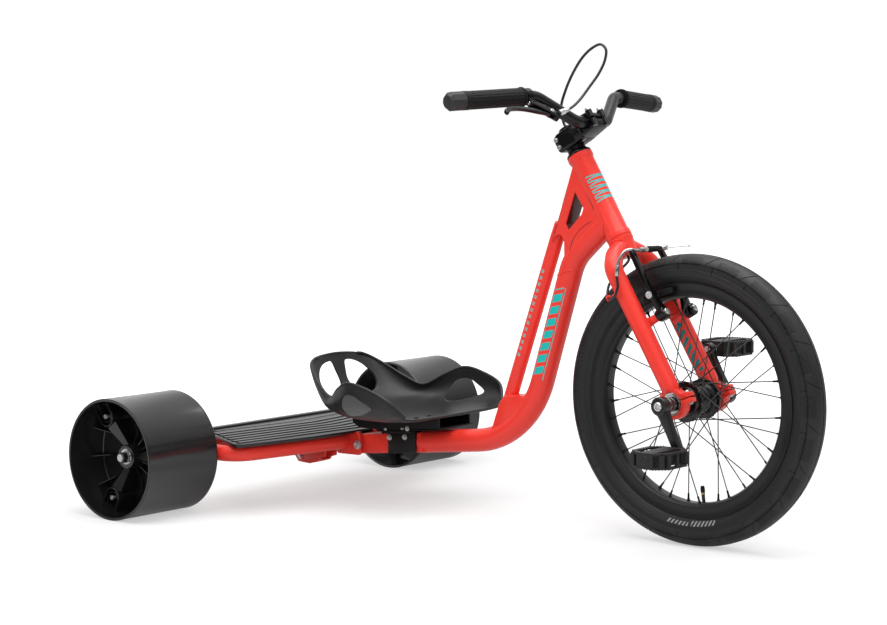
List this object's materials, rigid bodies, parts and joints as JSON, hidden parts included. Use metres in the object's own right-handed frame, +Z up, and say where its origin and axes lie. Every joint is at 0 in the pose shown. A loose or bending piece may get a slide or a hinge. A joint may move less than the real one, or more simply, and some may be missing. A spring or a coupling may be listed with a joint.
{
  "type": "drift trike",
  "caption": "Low drift trike: pedalled spoked front wheel on a raked fork, bent tube frame, bucket seat and two wide smooth plastic rear drums under a ribbed deck.",
  "frame": {"origin": "on the floor, midway between the back of the rear drums and the front of the tyre, on the frame's middle plane", "axes": "+X forward along the frame, +Y to the rider's left, +Z up"},
  "size_m": [1.382, 0.98, 0.8939],
  "materials": {
    "red_paint": "gloss",
    "black_paint": "satin",
    "black_alloy": "satin",
    "black_plastic": "satin",
    "gloss_plastic": "gloss",
    "rubber": "matte",
    "tyre": "matte",
    "steel": "polished",
    "spoke_black": "satin",
    "cable_jacket": "satin"
  },
  "bodies": {
    "frame": {"main_frame": "red_paint", "headset_bearing_upper": "steel", "headset_bearing_lower": "steel", "rear_frame": "red_paint", "frame_bolt": "steel", "deck": "black_paint", "rear_axle": "steel", "axle_nut_left": "steel", "axle_nut_right": "steel", "seat_clamp": "black_paint"},
    "seat": {"seat_carriage": "black_paint", "seat_shell": "black_plastic"},
    "steering": {"fork": "red_paint", "dropout_bearing_left": "steel", "dropout_bearing_right": "steel", "headset_cover": "black_alloy", "headset_spacer": "black_alloy", "stem": "black_alloy", "stem_cap": "black_alloy", "steerer_cap": "black_alloy", "handlebar": "black_paint", "grip_left": "rubber", "grip_right": "rubber", "bar_plug_left": "rubber", "bar_plug_right": "rubber", "lever_perch": "black_alloy", "lever_pin": "steel", "cable_adjuster": "steel", "brake_cable": "cable_jacket"},
    "brake_lever": {"brake_lever": "black_alloy"},
    "brake_arm_right": {"brake_arm_right": "black_alloy", "brake_pad_right": "rubber", "brake_noodle": "steel", "noodle_boot": "rubber"},
    "brake_arm_left": {"brake_arm_left": "black_alloy", "brake_pad_left": "rubber", "brake_wire": "steel"},
    "front_wheel": {"tyre": "tyre", "inner_tube": "rubber", "rim": "black_alloy", "spokes_left": "spoke_black", "spokes_right": "spoke_black", "front_hub": "black_alloy", "hub_bearing_left": "steel", "hub_bearing_right": "steel"},
    "cranks": {"crank_spindle": "steel", "crank_left": "black_alloy", "crank_right": "black_alloy", "pedal_axle_left": "steel", "pedal_axle_right": "steel"},
    "pedal_left": {"pedal_left": "black_plastic"},
    "pedal_right": {"pedal_right": "black_plastic"},
    "rear_wheel_left": {"rear_drum_left": "gloss_plastic", "rear_bearing_outer_left": "steel", "rear_bearing_inner_left": "steel"},
    "rear_wheel_right": {"rear_drum_right": "gloss_plastic", "rear_bearing_outer_right": "steel", "rear_bearing_inner_right": "steel"}
  },
  "joints": [
    {"name": "seat_slide", "type": "slide", "parent": "frame", "child": "seat", "axis": [0.9945, 0, 0.1045], "range_m": [-0.02, 0.04]},
    {"name": "steering_swivel", "type": "hinge", "parent": "frame", "child": "steering", "pos_m": [0.269, 0, 0.542], "axis": [-0.515, 0, 0.8572], "range_deg": [-80, 80]},
    {"name": "brake_lever_pivot", "type": "hinge", "parent": "steering", "child": "brake_lever", "pos_m": [0.194, -0.108, 0.768], "axis": [-0.7071, 0, -0.7071], "range_deg": [0, 10], "stiffness_Nm_per_rad": 1.5, "springref_deg": -20.05},
    {"name": "brake_arm_right_pivot", "type": "hinge", "parent": "steering", "child": "brake_arm_right", "pos_m": [0.39239, -0.044, 0.41431], "axis": [-0.8572, 0, -0.515], "range_deg": [0, 2.2]},
    {"name": "brake_arm_left_pivot", "type": "hinge", "parent": "steering", "child": "brake_arm_left", "pos_m": [0.39239, 0.044, 0.41431], "axis": [0.8572, 0, 0.515], "range_deg": [0, 2.2]},
    {"name": "front_wheel_spin", "type": "hinge", "parent": "steering", "child": "front_wheel", "pos_m": [0.431, 0, 0.26], "axis": [0, 1, 0], "continuous": true},
    {"name": "crank_spin", "type": "hinge", "parent": "steering", "child": "cranks", "pos_m": [0.431, 0, 0.26], "axis": [0, 1, 0], "continuous": true},
    {"name": "pedal_left_spin", "type": "hinge", "parent": "cranks", "child": "pedal_left", "pos_m": [0.39248, 0.168, 0.33912], "axis": [0, 1, 0], "continuous": true},
    {"name": "pedal_right_spin", "type": "hinge", "parent": "cranks", "child": "pedal_right", "pos_m": [0.46952, -0.168, 0.18088], "axis": [0, 1, 0], "continuous": true},
    {"name": "rear_wheel_left_spin", "type": "hinge", "parent": "frame", "child": "rear_wheel_left", "pos_m": [-0.574, 0.404, 0.117], "axis": [0, 1, 0], "continuous": true},
    {"name": "rear_wheel_right_spin", "type": "hinge", "parent": "frame", "child": "rear_wheel_right", "pos_m": [-0.574, -0.404, 0.117], "axis": [0, 1, 0], "continuous": true}
  ],
  "couplings": [
    {"joint": "brake_arm_right_pivot", "follows": "brake_lever_pivot", "ratio": 0.22},
    {"joint": "brake_arm_left_pivot", "follows": "brake_lever_pivot", "ratio": 0.22}
  ]
}
